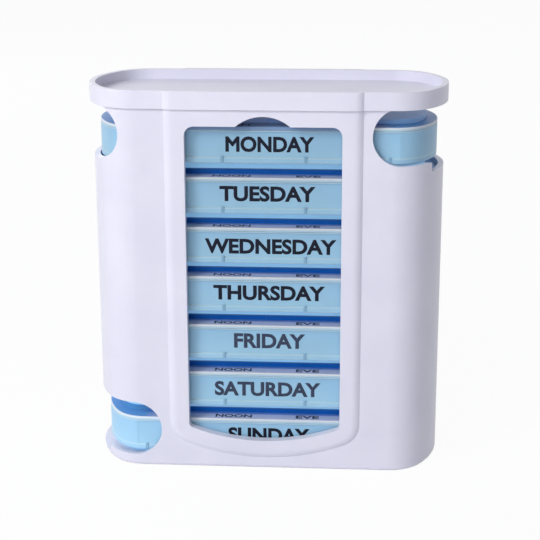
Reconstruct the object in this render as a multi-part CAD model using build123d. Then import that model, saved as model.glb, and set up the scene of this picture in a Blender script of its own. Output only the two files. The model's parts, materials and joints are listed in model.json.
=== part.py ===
from build123d import *
import os
from math import atan2, cos, pi, sin, sqrt, degrees

# Weekly pill drawer organizer: an upright white case that holds a stack of seven
# day trays. Millimetres. X runs along the trays, -Y is the window side, +Z is up,
# and the origin is the middle of the case's underside.

# ---- driving dimensions: plan ------------------------------------------------
RIM_HALF_LENGTH = 57.5      # the cover's rim, the widest outline
RIM_HALF_DEPTH = 25.0
RIM_CORNER_RADIUS = 14.5
RIM_END_RADIUS = 34.0
RIM_OVERHANG = 1.0          # rim past the case wall
CASE_WALL = 1.8
TRAY_SIDE_GAP = 0.5         # case wall to tray
TRAY_WALL = 1.3

# ---- driving dimensions: tray, heights above its own base --------------------
TRAY_FLOOR = 1.2
FOOT_HEIGHT = 2.8
SHELF = 1.2                 # thickness where the body steps out over the foot
TRAY_RIM = 13.1
LID_SEAT_GAP = 0.1
LID_PLATE = 1.2
LID_PLATEAU = 1.6
FOOT_FRONT_INSET = 6.0
FOOT_END_INSET = 3.5
FOOT_CORNER_RADIUS = 8.0
FOOT_END_RADIUS = 26.0
COMPARTMENT_PITCH = 26.0
DIVIDER = 1.2
LID_SPLIT = 0.4             # gap between neighbouring lids
LABEL_HALF_WIDTH = 42.0
LABEL_BOTTOM = 4.6
LABEL_TOP = 12.7
LABEL_DEPTH = 0.3
RIB_WIDTH = 0.8
RIB_PROUD = 0.25
RIB_ABOVE_LABEL_EDGE = 0.5
BODY_EDGE_FILLET = 0.4
LID_EDGE_FILLET = 0.35
LATCH_LIP_DEPTH = 1.0
LATCH_LIP_THICK = 0.8
LATCH_LIP_GAP = 0.25

# ---- driving dimensions: lid hinge -------------------------------------------
HINGE_PIN_RADIUS = 0.7
HINGE_PIN_GAP = 0.08
HINGE_PIN_LENGTH = 1.2
HINGE_BELOW_PLATE = 1.2     # pin axis under the lid plate
KNUCKLE_WIDTH = 8.0
KNUCKLE_GAP = 0.3
BOSS_WIDTH = 2.0
BOSS_DEPTH = 2.4            # through the rear wall and inwards
END_HINGE_MARGIN = 1.6      # end lids: divider face to hinge boss

# ---- driving dimensions: stack, case and cover -------------------------------
FLOOR_TOP = 1.9
TRAY_GAP = 0.1              # running gap under every tray
DAYS = ["monday", "tuesday", "wednesday", "thursday", "friday", "saturday", "sunday"]
PARTS_OF_DAY = ["morn", "noon", "eve", "bed"]
HEADROOM = 4.0              # top tray to the case's upper edge
CASE_BOTTOM_FILLET = 1.5
PANEL_HALF_WIDTH = 29.3     # raised panel, middle of its soft step
PANEL_PROUD = 1.16
PANEL_STEP = 2.6            # width of the soft step
PANEL_SIDE_BOTTOM = 11.2
PANEL_LOWEST = 4.2
PANEL_FILLET = 0.9
WINDOW_HALF_WIDTH = 24.4
WINDOW_OVER_LID = 0.45
WINDOW_TOP_CORNER = 3.0
WINDOW_LOW_CORNER = 1.6
WINDOW_SIDE_BOTTOM = 14.8
WINDOW_SAG = 4.6
WINDOW_EDGE_FILLET = 0.5
NOTCH_HALF_WIDTH = 8.5
NOTCH_RISE = 3.15
CUT_RADIUS = 9.1            # rounded inner end of the three openings at the ends
EXIT_PAST_CORNER = 2.8      # both tray exits: centre past the end of the flat front
FINGER_CENTRE = 54.5        # from the middle, the finger hole
SILL_GAP = 0.2              # exit sill under the sliding tray
LOWER_LIP = 2.0             # lower left sill above the floor
COVER_GAP = 0.1
COVER_RIM_HEIGHT = 5.7
COVER_RIM_WALL = 1.8
COVER_RECESS = 3.3
COVER_EDGE_FILLET = 0.7
RAIL_DEPTH = 2.2
RAIL_THICK = 1.2
RAIL_GAP = 0.2
RAIL_LEFT = -40.0
RAIL_RIGHT = 30.0

# ---- worked out from the above -------------------------------------------------
CASE_INSET = RIM_OVERHANG
CAVITY_INSET = RIM_OVERHANG + CASE_WALL
TRAY_INSET = CAVITY_INSET + TRAY_SIDE_GAP
CASE_HALF_DEPTH = RIM_HALF_DEPTH - CASE_INSET
CAVITY_HALF_DEPTH = RIM_HALF_DEPTH - CAVITY_INSET
TRAY_HALF_LENGTH = RIM_HALF_LENGTH - TRAY_INSET
TRAY_HALF_DEPTH = RIM_HALF_DEPTH - TRAY_INSET
LID_BOTTOM = TRAY_RIM + LID_SEAT_GAP
LID_TOP = LID_BOTTOM + LID_PLATE
TRAY_HEIGHT = LID_TOP + LID_PLATEAU
TRAY_PITCH = TRAY_HEIGHT + TRAY_GAP
SUNDAY_BASE = FLOOR_TOP + TRAY_GAP
MONDAY_BASE = SUNDAY_BASE + (len(DAYS) - 1) * TRAY_PITCH
CASE_TOP = MONDAY_BASE + TRAY_HEIGHT + HEADROOM
COVER_BOTTOM = CASE_TOP + COVER_GAP
COVER_TOP = COVER_BOTTOM + COVER_RIM_HEIGHT
UPPER_SILL = MONDAY_BASE + FOOT_HEIGHT - SILL_GAP
LOWER_SILL = FLOOR_TOP + LOWER_LIP
FOOT_HALF_DEPTH = TRAY_HALF_DEPTH - FOOT_FRONT_INSET
FAR = 2 * RIM_HALF_LENGTH   # reaches past everything


# ---- plan outlines -------------------------------------------------------------
def corner_start(half_length, half_depth, corner_radius, end_radius):
    """Where the flat front ends and the rounded corner begins."""
    rise = half_depth - corner_radius
    return half_length - end_radius + sqrt((end_radius - corner_radius) ** 2 - rise ** 2)


EXIT_CENTRE = EXIT_PAST_CORNER + corner_start(
    RIM_HALF_LENGTH, RIM_HALF_DEPTH, RIM_CORNER_RADIUS, RIM_END_RADIUS
)


def plan_face(half_length, half_depth, corner_radius, end_radius):
    """Flat front and back, tight round corners, flatter round ends."""
    end_x = half_length - end_radius
    rise = half_depth - corner_radius
    corner_x = corner_start(half_length, half_depth, corner_radius, end_radius)
    joint_angle = atan2(rise, corner_x - end_x)
    middle_angle = (pi / 2 + joint_angle) / 2
    middle = (corner_x + corner_radius * cos(middle_angle), rise + corner_radius * sin(middle_angle))
    joint = (end_x + end_radius * cos(joint_angle), end_radius * sin(joint_angle))
    edges = []
    for side in (1, -1):
        flat_end = (side * corner_x, half_depth)
        edges.append(ThreePointArc(flat_end, (side * middle[0], middle[1]), (side * joint[0], joint[1])))
        edges.append(
            ThreePointArc((side * joint[0], joint[1]), (side * half_length, 0), (side * joint[0], -joint[1]))
        )
        edges.append(
            ThreePointArc(
                (side * joint[0], -joint[1]), (side * middle[0], -middle[1]), (side * corner_x, -half_depth)
            )
        )
    edges.append(Line((-corner_x, half_depth), (corner_x, half_depth)))
    edges.append(Line((-corner_x, -half_depth), (corner_x, -half_depth)))
    return make_face(edges)


def rim_plan(inset):
    return plan_face(
        RIM_HALF_LENGTH - inset, RIM_HALF_DEPTH - inset, RIM_CORNER_RADIUS - inset, RIM_END_RADIUS - inset
    )


def foot_plan(inset):
    return plan_face(
        TRAY_HALF_LENGTH - FOOT_END_INSET - inset,
        FOOT_HALF_DEPTH - inset,
        FOOT_CORNER_RADIUS - inset,
        FOOT_END_RADIUS - inset,
    )


def column(face, low, high):
    """A plan outline raised between two heights."""
    return Pos(0, 0, low) * extrude(face, high - low)


def block(x, y, z):
    """A box given by its low and high on each axis."""
    size = [pair[1] - pair[0] for pair in (x, y, z)]
    centre = [(pair[0] + pair[1]) / 2 for pair in (x, y, z)]
    return Pos(*centre) * Box(*size)


def x_rod(x, y, z, radius):
    """A round bar along X between two x values."""
    return Pos((x[0] + x[1]) / 2, y, z) * Rot(0, 90, 0) * Cylinder(radius, x[1] - x[0])


# ---- case ----------------------------------------------------------------------
def raised_panel():
    """The front panel that stands proud of the wall, with a sloped outline."""
    outer_half = PANEL_HALF_WIDTH + PANEL_STEP / 2
    above = CASE_TOP + FAR
    outline = make_face([
        Line((-outer_half, above), (-outer_half, PANEL_SIDE_BOTTOM)),
        ThreePointArc((-outer_half, PANEL_SIDE_BOTTOM), (0, PANEL_LOWEST), (outer_half, PANEL_SIDE_BOTTOM)),
        Line((outer_half, PANEL_SIDE_BOTTOM), (outer_half, above)),
        Line((outer_half, above), (-outer_half, above)),
    ])
    slope = degrees(atan2(PANEL_STEP, PANEL_PROUD))
    panel = extrude(Plane.XZ.offset(CASE_HALF_DEPTH) * outline, PANEL_PROUD, taper=slope)
    panel = fillet(panel.edges().group_by(Axis.Y)[0], PANEL_FILLET)
    # a plate inside the wall ties the panel to it
    root = extrude(Plane.XZ.offset(CASE_HALF_DEPTH - CASE_WALL / 2) * outline, CASE_WALL / 2)
    tall = block((-FAR, FAR), (-FAR, FAR), (0, CASE_TOP))
    return (panel + root) & tall


def window_cut():
    """Round-bottomed window with a finger notch in its upper edge."""
    top = MONDAY_BASE + LID_TOP + WINDOW_OVER_LID
    w, low = WINDOW_HALF_WIDTH, WINDOW_SIDE_BOTTOM
    outline = make_face([
        Line((-w, top), (-w, low)),
        ThreePointArc((-w, low), (0, low - WINDOW_SAG), (w, low)),
        Line((w, low), (w, top)),
        Line((w, top), (-w, top)),
    ])
    corners = outline.vertices().sort_by(Axis.Y)
    outline = fillet(corners[2:], WINDOW_TOP_CORNER)
    outline = fillet(outline.vertices().sort_by(Axis.Y)[:2], WINDOW_LOW_CORNER)
    notch = make_face([
        ThreePointArc((-NOTCH_HALF_WIDTH, top), (0, top + NOTCH_RISE), (NOTCH_HALF_WIDTH, top)),
        Line((NOTCH_HALF_WIDTH, top), (NOTCH_HALF_WIDTH, top - NOTCH_RISE)),
        Line((NOTCH_HALF_WIDTH, top - NOTCH_RISE), (-NOTCH_HALF_WIDTH, top - NOTCH_RISE)),
        Line((-NOTCH_HALF_WIDTH, top - NOTCH_RISE), (-NOTCH_HALF_WIDTH, top)),
    ])
    return extrude(Plane.XZ * (outline + notch), RIM_HALF_DEPTH + PANEL_PROUD + 1)


def end_opening(side, centre, sill, ceiling):
    """An opening through front wall, end wall and back wall, rounded on its inner end."""
    centre_z = sill + CUT_RADIUS
    round_end = Pos(side * centre, 0, centre_z) * Rot(90, 0, 0) * Cylinder(CUT_RADIUS, FAR)
    reach = sorted((side * centre, side * FAR))
    return round_end + block(reach, (-FAR / 2, FAR / 2), (sill, ceiling))


def foot_channel(side, floor, sill):
    """The dip in an exit sill that lets the tray's foot through."""
    half = FOOT_HALF_DEPTH + TRAY_SIDE_GAP
    reach = sorted((side * EXIT_CENTRE, side * FAR))
    return block(reach, (-half, half), (floor, sill + 1))


def make_case():
    shell = column(rim_plan(CASE_INSET), 0, CASE_TOP)
    shell = fillet(shell.edges().group_by(Axis.Z)[0], CASE_BOTTOM_FILLET)
    panel = raised_panel()
    shell = shell + panel + mirror(panel, about=Plane.XZ)
    shell = shell - window_cut()
    front_plane = -(CASE_HALF_DEPTH + PANEL_PROUD)
    window_edges = shell.edges().filter_by_position(Axis.Y, front_plane - 0.01, front_plane + 0.01)
    window_edges = window_edges.filter_by_position(Axis.X, -WINDOW_HALF_WIDTH - 0.01, WINDOW_HALF_WIDTH + 0.01)
    window_edges = window_edges.filter_by_position(Axis.Z, WINDOW_SIDE_BOTTOM - WINDOW_SAG - 0.5, CASE_TOP - 1)
    shell = fillet(window_edges, WINDOW_EDGE_FILLET)
    shell = shell - column(rim_plan(CAVITY_INSET), FLOOR_TOP, CASE_TOP + 1)
    shell = shell - end_opening(1, EXIT_CENTRE, UPPER_SILL, CASE_TOP + 1)
    shell = shell - end_opening(-1, FINGER_CENTRE, UPPER_SILL, CASE_TOP + 1)
    shell = shell - end_opening(-1, EXIT_CENTRE, LOWER_SILL, LOWER_SILL + 2 * CUT_RADIUS)
    shell = shell - foot_channel(1, MONDAY_BASE - SILL_GAP, UPPER_SILL)
    shell = shell - foot_channel(-1, FLOOR_TOP, LOWER_SILL)
    return shell


# ---- cover ---------------------------------------------------------------------
def rim_bump():
    """The rim follows the raised panel with the same soft step."""
    low = PANEL_HALF_WIDTH + PANEL_STEP / 2
    high = PANEL_HALF_WIDTH - PANEL_STEP / 2
    back, front = -(RIM_HALF_DEPTH - COVER_RIM_WALL / 2), -(RIM_HALF_DEPTH + PANEL_PROUD)
    wall = -RIM_HALF_DEPTH
    points = [(-low, back), (-low, wall), (-high, front), (high, front), (low, wall), (low, back)]
    return column(make_face(Polyline(points, close=True)), COVER_BOTTOM, COVER_TOP)


def make_cover():
    bump = rim_bump()
    cover = column(rim_plan(0), COVER_BOTTOM, COVER_TOP) + bump + mirror(bump, about=Plane.XZ)
    cover = fillet(cover.edges().group_by(Axis.Z)[-1], COVER_EDGE_FILLET)
    cover = cover - column(rim_plan(COVER_RIM_WALL), COVER_TOP - COVER_RECESS, COVER_TOP + 1)
    rail_outer = CAVITY_HALF_DEPTH - RAIL_GAP
    rail = block(
        (RAIL_LEFT, RAIL_RIGHT),
        (rail_outer - RAIL_THICK, rail_outer),
        (COVER_BOTTOM - RAIL_DEPTH, COVER_BOTTOM + COVER_RIM_HEIGHT - COVER_RECESS),
    )
    rail = rail & column(rim_plan(CAVITY_INSET + RAIL_GAP), 0, COVER_TOP)
    return cover + rail + mirror(rail, about=Plane.XZ)


# ---- trays ---------------------------------------------------------------------
def compartment_span(index):
    """Low and high x between the middles of the walls of one compartment."""
    marks = [-FAR, -COMPARTMENT_PITCH, 0, COMPARTMENT_PITCH, FAR]
    return marks[index], marks[index + 1]


def hinge_centre(index):
    """Middle of a lid's hinge: the compartment's middle, or close to its divider in an end one."""
    inner = COMPARTMENT_PITCH / 2
    outer = COMPARTMENT_PITCH + DIVIDER / 2 + END_HINGE_MARGIN + BOSS_WIDTH + KNUCKLE_GAP + KNUCKLE_WIDTH / 2
    return [-outer, -inner, inner, outer][index]


HINGE_Z = LID_BOTTOM - HINGE_BELOW_PLATE
HINGE_Y = TRAY_HALF_DEPTH - BOSS_DEPTH / 2


def tray_shell():
    """Foot, body and four compartments, without hinge or label details."""
    foot = column(foot_plan(0), 0, FOOT_HEIGHT + SHELF)
    body = column(rim_plan(TRAY_INSET), FOOT_HEIGHT, TRAY_RIM)
    body = fillet(body.edges().group_by(Axis.Z)[0], BODY_EDGE_FILLET)
    upper = column(rim_plan(TRAY_INSET + TRAY_WALL), FOOT_HEIGHT + SHELF, TRAY_RIM + 1)
    lower = column(foot_plan(TRAY_WALL), TRAY_FLOOR, TRAY_RIM)
    hollow = upper + lower
    for index in (-1, 0, 1):
        middle = index * COMPARTMENT_PITCH
        hollow = hollow - block((middle - DIVIDER / 2, middle + DIVIDER / 2), (-FAR, FAR), (0, TRAY_RIM + 1))
    return foot + body - hollow


def hinge_boss(middle, sign):
    """A block beside the hinge slot, with the bore for one lid pin."""
    near = middle + sign * (KNUCKLE_WIDTH / 2 + KNUCKLE_GAP)
    far = near + sign * BOSS_WIDTH
    boss = block(
        sorted((near, far)),
        (TRAY_HALF_DEPTH - BOSS_DEPTH, TRAY_HALF_DEPTH - TRAY_WALL / 2),
        (HINGE_Z - 2 * HINGE_PIN_RADIUS, TRAY_RIM),
    )
    deep = middle + sign * (KNUCKLE_WIDTH / 2 + HINGE_PIN_LENGTH + KNUCKLE_GAP)
    bore = x_rod(sorted((near - sign, deep)), HINGE_Y, HINGE_Z, HINGE_PIN_RADIUS + HINGE_PIN_GAP)
    return boss, bore


def tray_outline(low, high):
    """Everything inside the tray's own plan between two heights."""
    return column(rim_plan(TRAY_INSET), low, high)


def make_tray():
    tray = tray_shell()
    inside = tray_outline(0, TRAY_RIM)
    for index in range(len(PARTS_OF_DAY)):
        middle = hinge_centre(index)
        half = KNUCKLE_WIDTH / 2 + KNUCKLE_GAP
        slot_low = HINGE_Z - HINGE_PIN_RADIUS - 3 * KNUCKLE_GAP
        slot = block((middle - half, middle + half), (HINGE_Y - BOSS_DEPTH, FAR), (slot_low, TRAY_RIM + 1))
        left, right = hinge_boss(middle, -1), hinge_boss(middle, 1)
        tray = tray + (left[0] & inside) + (right[0] & inside) - slot - left[1] - right[1]
    label = block(
        (-LABEL_HALF_WIDTH, LABEL_HALF_WIDTH), (-FAR, -(TRAY_HALF_DEPTH - LABEL_DEPTH)), (LABEL_BOTTOM, LABEL_TOP)
    )
    tray = tray - label
    rib_low, rib_high = FOOT_HEIGHT + BODY_EDGE_FILLET, LABEL_BOTTOM + RIB_ABOVE_LABEL_EDGE
    rib_skin = column(rim_plan(TRAY_INSET - RIB_PROUD), rib_low, rib_high)
    rib_skin = rib_skin - column(rim_plan(TRAY_INSET + TRAY_WALL / 2), 0, TRAY_RIM)
    for middle in (-1.5, -0.5, 0.5, 1.5):
        x = middle * COMPARTMENT_PITCH
        tray = tray + (rib_skin & block((x - RIB_WIDTH / 2, x + RIB_WIDTH / 2), (-FAR, 0), (0, TRAY_RIM)))
    return tray


# ---- lids ----------------------------------------------------------------------
def make_lid(index):
    """One compartment's lid: plate, raised middle, front lip, rear knuckle and pins."""
    plate = column(rim_plan(TRAY_INSET), LID_BOTTOM, LID_TOP)
    plate = fillet(plate.edges().group_by(Axis.Z)[-1], LID_EDGE_FILLET)
    plateau = column(foot_plan(0), LID_BOTTOM, TRAY_HEIGHT)
    low, high = compartment_span(index)
    span = block((low + LID_SPLIT / 2, high - LID_SPLIT / 2), (-FAR, FAR), (0, TRAY_HEIGHT + 1))
    lid = (plate + plateau) & span
    lip_inset = TRAY_INSET + TRAY_WALL + LATCH_LIP_GAP
    lip = column(rim_plan(lip_inset), LID_BOTTOM - LATCH_LIP_DEPTH, LID_BOTTOM)
    lip = lip - column(rim_plan(lip_inset + LATCH_LIP_THICK), 0, TRAY_HEIGHT)
    side = DIVIDER / 2 + LATCH_LIP_GAP
    lip = lip & block((low + side, high - side), (-FAR, 0), (0, TRAY_HEIGHT))
    middle = hinge_centre(index)
    knuckle = block(
        (middle - KNUCKLE_WIDTH / 2, middle + KNUCKLE_WIDTH / 2),
        (HINGE_Y - HINGE_PIN_RADIUS, HINGE_Y + HINGE_PIN_RADIUS),
        (HINGE_Z - HINGE_PIN_RADIUS, LID_BOTTOM),
    )
    reach = KNUCKLE_WIDTH / 2 + HINGE_PIN_LENGTH
    pins = x_rod((middle - reach, middle + reach), HINGE_Y, HINGE_Z, HINGE_PIN_RADIUS)
    return lid + lip + ((knuckle + pins) & tray_outline(0, LID_TOP))


# ---- write every piece -----------------------------------------------------------
os.makedirs("parts", exist_ok=True)
export_step(make_case(), "parts/case_body.step")
export_step(make_cover(), "parts/top_cover.step")
tray = make_tray()
lids = [make_lid(index) for index in range(len(PARTS_OF_DAY))]
for order, day in enumerate(DAYS):
    lift = Pos(0, 0, MONDAY_BASE - order * TRAY_PITCH)
    export_step(lift * tray, f"parts/tray_{day}.step")
    for lid, part_of_day in zip(lids, PARTS_OF_DAY):
        export_step(lift * lid, f"parts/lid_{day}_{part_of_day}.step")
print(f"case top {CASE_TOP:.2f}, cover top {COVER_TOP:.2f}, Monday base {MONDAY_BASE:.2f}")
print(f"upper sill {UPPER_SILL:.2f}, lower sill {LOWER_SILL:.2f}, tray pitch {TRAY_PITCH:.2f}")
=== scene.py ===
# %% [markdown]
# # A weekly pill drawer organizer
# A white case holds seven blue day trays, and a white cap closes it. This lesson keeps the trays
# and lids as the construction model made them and gives them a translucent finish. The case and
# the cap are modelled again here, because a moulded shell is judged by its soft edges, and those
# are easiest to shape and to light in a mesh.

# %% Load the fixed frame
import json
from math import atan2, pi, radians, sqrt

import bmesh
import bpy
from mathutils import Matrix, Vector

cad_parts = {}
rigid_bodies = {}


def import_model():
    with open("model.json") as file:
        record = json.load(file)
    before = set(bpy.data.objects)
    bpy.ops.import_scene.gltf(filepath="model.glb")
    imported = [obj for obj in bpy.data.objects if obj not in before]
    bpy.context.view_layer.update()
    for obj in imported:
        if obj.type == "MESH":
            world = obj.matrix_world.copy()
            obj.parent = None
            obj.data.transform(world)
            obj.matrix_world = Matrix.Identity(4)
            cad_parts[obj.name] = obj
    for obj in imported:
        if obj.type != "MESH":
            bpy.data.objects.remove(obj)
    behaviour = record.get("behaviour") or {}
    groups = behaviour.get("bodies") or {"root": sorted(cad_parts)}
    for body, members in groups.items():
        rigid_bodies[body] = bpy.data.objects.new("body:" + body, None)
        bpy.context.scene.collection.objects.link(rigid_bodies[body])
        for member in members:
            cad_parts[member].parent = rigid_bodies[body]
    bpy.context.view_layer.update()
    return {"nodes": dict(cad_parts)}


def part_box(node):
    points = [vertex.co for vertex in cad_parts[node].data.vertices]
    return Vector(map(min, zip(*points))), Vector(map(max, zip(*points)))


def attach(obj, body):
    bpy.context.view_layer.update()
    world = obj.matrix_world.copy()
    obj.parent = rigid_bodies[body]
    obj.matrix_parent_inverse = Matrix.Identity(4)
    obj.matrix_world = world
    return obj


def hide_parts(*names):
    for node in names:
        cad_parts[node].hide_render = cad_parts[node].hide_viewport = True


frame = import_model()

mm = 0.001
scene = bpy.context.scene

# %% [markdown]
# ## Sizes
# The real cap and case share one plan outline: flat front and back, tight round corners and flatter
# round ends. Each could be drawn by itself, but then a change to one would leave the other behind.
# So a few real sizes drive everything, and an inset of that same outline gives the case wall, the
# hollow inside it and the recess in the cap.

# %% Sizes and heights
RIM_HALF_LENGTH = 57.48 * mm
RIM_HALF_DEPTH = 25.0 * mm
CORNER_RADIUS = 14.5 * mm
END_RADIUS = 34.0 * mm
OVERHANG = 1.0 * mm
CASE_WALL = 1.8 * mm
DAYS = ["monday", "tuesday", "wednesday", "thursday", "friday", "saturday", "sunday"]
PARTS_OF_DAY = ["morn", "noon", "eve", "bed"]
BODY_OF_DAY = {day: "case" for day in DAYS} | {"monday": "monday_tray", "sunday": "sunday_tray"}

case_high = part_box("case_body")[1]
cover_low, cover_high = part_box("top_cover")
tray_base = {day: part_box(f"tray_{day}")[0].z for day in DAYS}
PITCH = tray_base["monday"] - tray_base["tuesday"]
RIM_HEIGHT = 5.7 * mm
COVER_BOTTOM = cover_high.z - RIM_HEIGHT
print(f"case {case_high.z / mm:.1f} mm tall, trays {PITCH / mm:.1f} mm apart")

# %% [markdown]
# ## Drawing a plan outline with spins
# A round corner is an arc, and the spin operator draws one: it turns a single vertex about a
# centre and leaves an edge behind at every step. Three spins make one end. The other end is the
# same thing turned half round, and two straight edges close the loop. One filled face of it,
# extruded upwards, is a column. Points from sines and cosines would do too, but spins keep the two
# radii plain to see.

# %% Outline helpers
CORNER_STEPS, END_STEPS = 14, 22


def spin_vertex(bm, vertex, centre, angle, steps):
    """Turn a vertex about a vertical axis, leaving edges, and return where it ends."""
    made = bmesh.ops.spin(
        bm, geom=[vertex], cent=centre, axis=(0, 0, 1), angle=angle, steps=steps, use_duplicate=False
    )
    return next(item for item in made["geom_last"] if isinstance(item, bmesh.types.BMVert))


def round_end(bm, inset, z):
    """One rounded end, from the front flat to the back flat. Returns its first and last vertex."""
    half_depth = RIM_HALF_DEPTH - inset
    rise = RIM_HALF_DEPTH - CORNER_RADIUS
    end_x = RIM_HALF_LENGTH - END_RADIUS
    corner_x = end_x + sqrt((END_RADIUS - CORNER_RADIUS) ** 2 - rise**2)
    joint = atan2(rise, corner_x - end_x)
    first = bm.verts.new((corner_x, -half_depth, z))
    last = spin_vertex(bm, first, (corner_x, -rise, z), pi / 2 - joint, CORNER_STEPS)
    last = spin_vertex(bm, last, (end_x, 0, z), 2 * joint, END_STEPS)
    last = spin_vertex(bm, last, (corner_x, rise, z), pi / 2 - joint, CORNER_STEPS)
    return first, last


def plan_outline(bm, inset, z):
    """The whole closed outline as edges. Returns the front and back flats' end vertices."""
    right_front, right_back = round_end(bm, inset, z)
    left_back, left_front = round_end(bm, inset, z)
    left = {left_back}
    grow = [left_back]
    while grow:
        vertex = grow.pop()
        for edge in vertex.link_edges:
            other = edge.other_vert(vertex)
            if other not in left:
                left.add(other)
                grow.append(other)
    bmesh.ops.rotate(bm, verts=list(left), cent=(0, 0, z), matrix=Matrix.Rotation(pi, 3, "Z"))
    return left_front, right_front, right_back, left_back


test = bmesh.new()
plan_outline(test, 0, 0)
print("outline vertices", len(test.verts), "in", len(test.edges), "edges")
test.free()


# %% Column helpers
def raise_face(bm, face, height):
    """Extrude a flat face straight up into a closed column."""
    made = bmesh.ops.extrude_face_region(bm, geom=[face], use_keep_orig=True)
    top = [item for item in made["geom"] if isinstance(item, bmesh.types.BMVert)]
    bmesh.ops.translate(bm, vec=(0, 0, height), verts=top)
    bmesh.ops.recalc_face_normals(bm, faces=bm.faces[:])


def plain_column(inset, low, high):
    """A new bmesh with the plan outline raised between two heights."""
    bm = bmesh.new()
    left_front, right_front, right_back, left_back = plan_outline(bm, inset, low)
    bm.edges.new((left_front, right_front))
    bm.edges.new((right_back, left_back))
    face = bmesh.ops.contextual_create(bm, geom=bm.edges[:])["faces"][0]
    raise_face(bm, face, high - low)
    return bm


def to_object(bm, name):
    """Write a bmesh into a new object that sits at the origin."""
    mesh = bpy.data.meshes.new(name)
    bm.to_mesh(mesh)
    bm.free()
    piece = bpy.data.objects.new(name, mesh)
    scene.collection.objects.link(piece)
    return piece


test = plain_column(0, 0, 1 * mm)
print("column faces", len(test.faces), "open edges", sum(not edge.is_manifold for edge in test.edges))
test.free()

# %% [markdown]
# ## Carving
# The real shell leaves its mould with every opening in it. In a mesh the openings could be drawn
# into each wall by hand, but a cut with a Boolean modifier is shorter and follows every change of
# size. Its result is written straight into the mesh. A Boolean may number its points and faces
# differently on each run, so they are sorted, and the script then makes the same piece every time.
# FAR is well past any side of the case.

# %% Carving helpers
FAR = 80 * mm


def applied(piece):
    """Put the result of a piece's modifiers into its mesh and drop the modifiers."""
    bpy.context.view_layer.update()
    evaluated = piece.evaluated_get(bpy.context.evaluated_depsgraph_get())
    mesh = bpy.data.meshes.new_from_object(evaluated)
    piece.modifiers.clear()
    piece.data = mesh
    return piece


def in_fixed_order(mesh):
    """The same mesh with its vertices and faces sorted by place."""
    order = sorted(range(len(mesh.vertices)), key=lambda index: tuple(mesh.vertices[index].co))
    rank = {index: number for number, index in enumerate(order)}
    faces = []
    for polygon in mesh.polygons:
        corners = [rank[index] for index in polygon.vertices]
        start = corners.index(min(corners))
        faces.append(corners[start:] + corners[:start])
    ordered = bpy.data.meshes.new(mesh.name)
    ordered.from_pydata([mesh.vertices[index].co for index in order], [], sorted(faces))
    return ordered


def carve(piece, tool, operation="DIFFERENCE"):
    """Cut a tool out of a piece, or join it on, and throw the tool away."""
    modifier = piece.modifiers.new(operation.title(), "BOOLEAN")
    modifier.operation = operation
    modifier.solver = "EXACT"
    modifier.object = tool
    applied(piece)
    piece.data = in_fixed_order(piece.data)
    bpy.data.objects.remove(tool)
    return piece


def open_edges(piece):
    """How many edges do not join exactly two faces. A closed shell has none."""
    bm = bmesh.new()
    bm.from_mesh(piece.data)
    count = sum(not edge.is_manifold for edge in bm.edges)
    bm.free()
    return count


def box_tool(x, y, z, name):
    """A box between low and high corners, as a cutting tool."""
    bm = bmesh.new()
    bmesh.ops.create_cube(bm, size=1)
    bmesh.ops.scale(bm, verts=bm.verts[:], vec=(x[1] - x[0], y[1] - y[0], z[1] - z[0]))
    middle = [(pair[0] + pair[1]) / 2 for pair in (x, y, z)]
    bmesh.ops.translate(bm, verts=bm.verts[:], vec=middle)
    return to_object(bm, name)


test = to_object(plain_column(0, 0, 2 * mm), "test")
carve(test, box_tool((0, FAR), (-FAR, FAR), (mm, FAR), "half"))
print("column with half its top cut away: open edges", open_edges(test))
bpy.data.objects.remove(test)

# %% [markdown]
# ## Softening
# A Boolean leaves sharp corners, and a moulded edge is never sharp. Its narrow round band catches
# the light along each opening. A finer mesh all over could show that too, but a bevel over every
# sharp edge adds faces only where they are seen. Near duplicates are merged first, and the loose
# triangles of each flat are joined, so that the bevel meets whole faces.

# %% Softening helper
WELD = 0.002 * mm
FLAT_WITHIN = radians(0.3)


def soften(piece, width, segments=3, angle=40):
    """Round every sharp edge and shade the piece smoothly, with flats kept flat."""
    bm = bmesh.new()
    bm.from_mesh(piece.data)
    bmesh.ops.remove_doubles(bm, verts=bm.verts[:], dist=WELD)
    bmesh.ops.dissolve_limit(
        bm, angle_limit=FLAT_WITHIN, verts=bm.verts[:], edges=bm.edges[:], use_dissolve_boundaries=False
    )
    bm.to_mesh(piece.data)
    bm.free()
    bevel = piece.modifiers.new("Soft edges", "BEVEL")
    bevel.width = width
    bevel.segments = segments
    bevel.limit_method = "ANGLE"
    bevel.angle_limit = radians(angle)
    bevel.use_clamp_overlap = True
    applied(piece)
    piece.data.polygons.foreach_set("use_smooth", [True] * len(piece.data.polygons))
    weighted = piece.modifiers.new("Flat faces first", "WEIGHTED_NORMAL")
    weighted.keep_sharp = False
    weighted.weight = 80
    applied(piece)
    print(piece.name, len(piece.data.polygons), "faces")
    return piece


test = soften(to_object(plain_column(0, 0, 2 * mm), "test"), 0.5 * mm)
bpy.data.objects.remove(test)

# %% [markdown]
# ## The cap
# The cap is a shallow tray turned the right way up: a flat recessed floor inside a rim that
# overhangs the case. On the front and back the rim steps out to follow the raised panel below.
# A bar joined to each side could make that step, but it would leave a hard corner. The real step
# starts steeply at the wall and eases off towards the raised stretch, so its points come from a
# power curve and are part of the outline.

# %% Cap outline with a step
PROUD = 1.16 * mm
PANEL_HALF = 30.9 * mm
STEP_WIDTH = 3.3 * mm
STEP_EASE = 2.8
STEP_POINTS = 8


def step_rise(share):
    """How far out the surface is, from nothing to one, at a share of the step's width."""
    return 1 - (1 - share) ** STEP_EASE


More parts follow.
